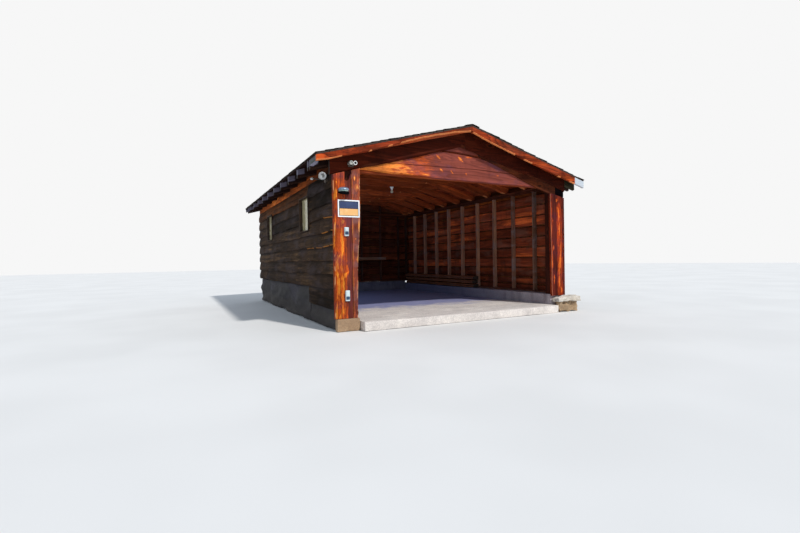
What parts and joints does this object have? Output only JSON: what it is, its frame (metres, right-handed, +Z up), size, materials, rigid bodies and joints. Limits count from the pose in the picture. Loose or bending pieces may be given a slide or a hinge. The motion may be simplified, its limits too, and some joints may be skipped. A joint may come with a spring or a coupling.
{
  "type": "open-fronted timber shed used as a log store",
  "caption": "Open-fronted timber gable shed for firewood: slab floor, concrete kerb, stud walls with lapped slab siding, rafters with collar ties and a low shingled roof.",
  "frame": {"origin": "middle of the bounding box in plan, at ground level under the slab and the kerbs", "axes": "+Z up, +Y from the open gable front to the closed rear wall, +X to the right seen from the front"},
  "size_m": [5.16, 6.605, 3.1701],
  "materials": {
    "concrete": "rough cast concrete with trowelled floor",
    "field_stone": "rough weathered stone",
    "framing_timber": "rough sawn, grey-brown with age",
    "siding_timber": "stained slab boards, weathered",
    "stained_plank": "stained planks with pale sapwood edges",
    "dark_timber": "dark stained boards",
    "roof_boards": "sawn boards, underside brown",
    "shingle": "granule-coated bitumen shingles, worn edges",
    "window_timber": "dark painted frame",
    "pane": "clear glass with a film of dust",
    "lamp_metal": "grey painted lamp housings",
    "lamp_white": "white lamp parts",
    "sign_face": "painted sheet with plain colour bands",
    "cover_plastic": "pale weather covers"
  },
  "bodies": {
    "root": {"floor_slab": "concrete", "kerb_left": "concrete", "kerb_right": "concrete", "kerb_rear": "concrete", "footing_stone": "field_stone", "sill_plates": "framing_timber", "studs_left": "framing_timber", "studs_right": "framing_timber", "studs_rear": "framing_timber", "top_plates": "framing_timber", "siding_left": "siding_timber", "siding_right": "siding_timber", "siding_rear": "siding_timber", "jamb_posts": "framing_timber", "post_left_outer": "stained_plank", "post_left_inner": "stained_plank", "post_right": "stained_plank", "verge_board_left": "dark_timber", "verge_board_right": "dark_timber", "gable_infill": "stained_plank", "header_beam": "dark_timber", "rake_board_left": "stained_plank", "rake_board_right": "stained_plank", "fly_rafters": "framing_timber", "ridge_board": "framing_timber", "rafters_left": "framing_timber", "rafters_right": "framing_timber", "collar_ties": "framing_timber", "frieze_left": "siding_timber", "frieze_right": "siding_timber", "roof_deck_left": "roof_boards", "roof_deck_right": "roof_boards", "shingles_left": "shingle", "shingles_right": "shingle", "window_frame_front": "window_timber", "window_frame_rear": "window_timber", "window_glass_front": "pane", "window_glass_rear": "pane", "rear_shelf": "framing_timber", "wall_ledge": "framing_timber", "floodlight": "lamp_metal", "twin_light": "lamp_white", "bulkhead_lamp": "lamp_metal", "sign_plate": "sign_face", "outlet_covers": "cover_plastic", "ceiling_lamp": "lamp_white"}
  },
  "joints": []
}
